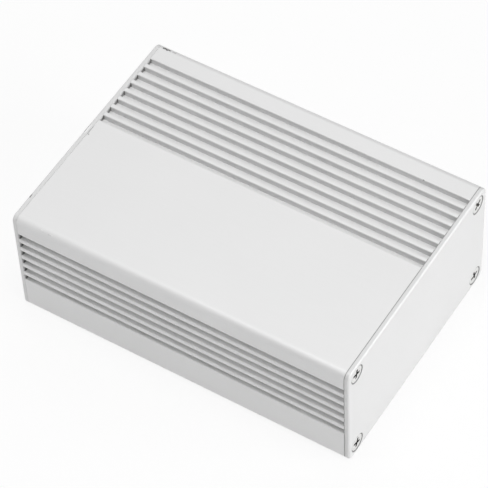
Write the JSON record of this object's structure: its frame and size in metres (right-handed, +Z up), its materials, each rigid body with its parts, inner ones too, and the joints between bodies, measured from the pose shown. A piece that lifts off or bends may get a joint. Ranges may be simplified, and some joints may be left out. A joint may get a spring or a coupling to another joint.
{
  "type": "aluminium enclosure",
  "caption": "Rectangular extruded aluminium electronics enclosure with lengthwise grooves, interlocking half shells and flat screwed end plates.",
  "frame": {"origin": "the middle of the base, on the surface that the box stands on, half way along and half way across", "axes": "+X along the length, towards the end plate that shows in the picture; +Y from the front side wall with the grooves to the back; +Z up, through the wide face with the grooves"},
  "size_m": [0.15, 0.105, 0.055],
  "materials": {
    "shell": "satin silver anodised, with a fine lengthwise extrusion grain",
    "plate": "fine matt silver anodised sheet with chamfered edges",
    "screw": "bright nickel-plated steel"
  },
  "bodies": {
    "root": {"upper_shell": "shell", "lower_shell": "shell", "left_end_plate": "plate", "right_end_plate": "plate", "left_screw_1": "screw", "left_screw_2": "screw", "left_screw_3": "screw", "left_screw_4": "screw", "right_screw_1": "screw", "right_screw_2": "screw", "right_screw_3": "screw", "right_screw_4": "screw"}
  },
  "joints": []
}
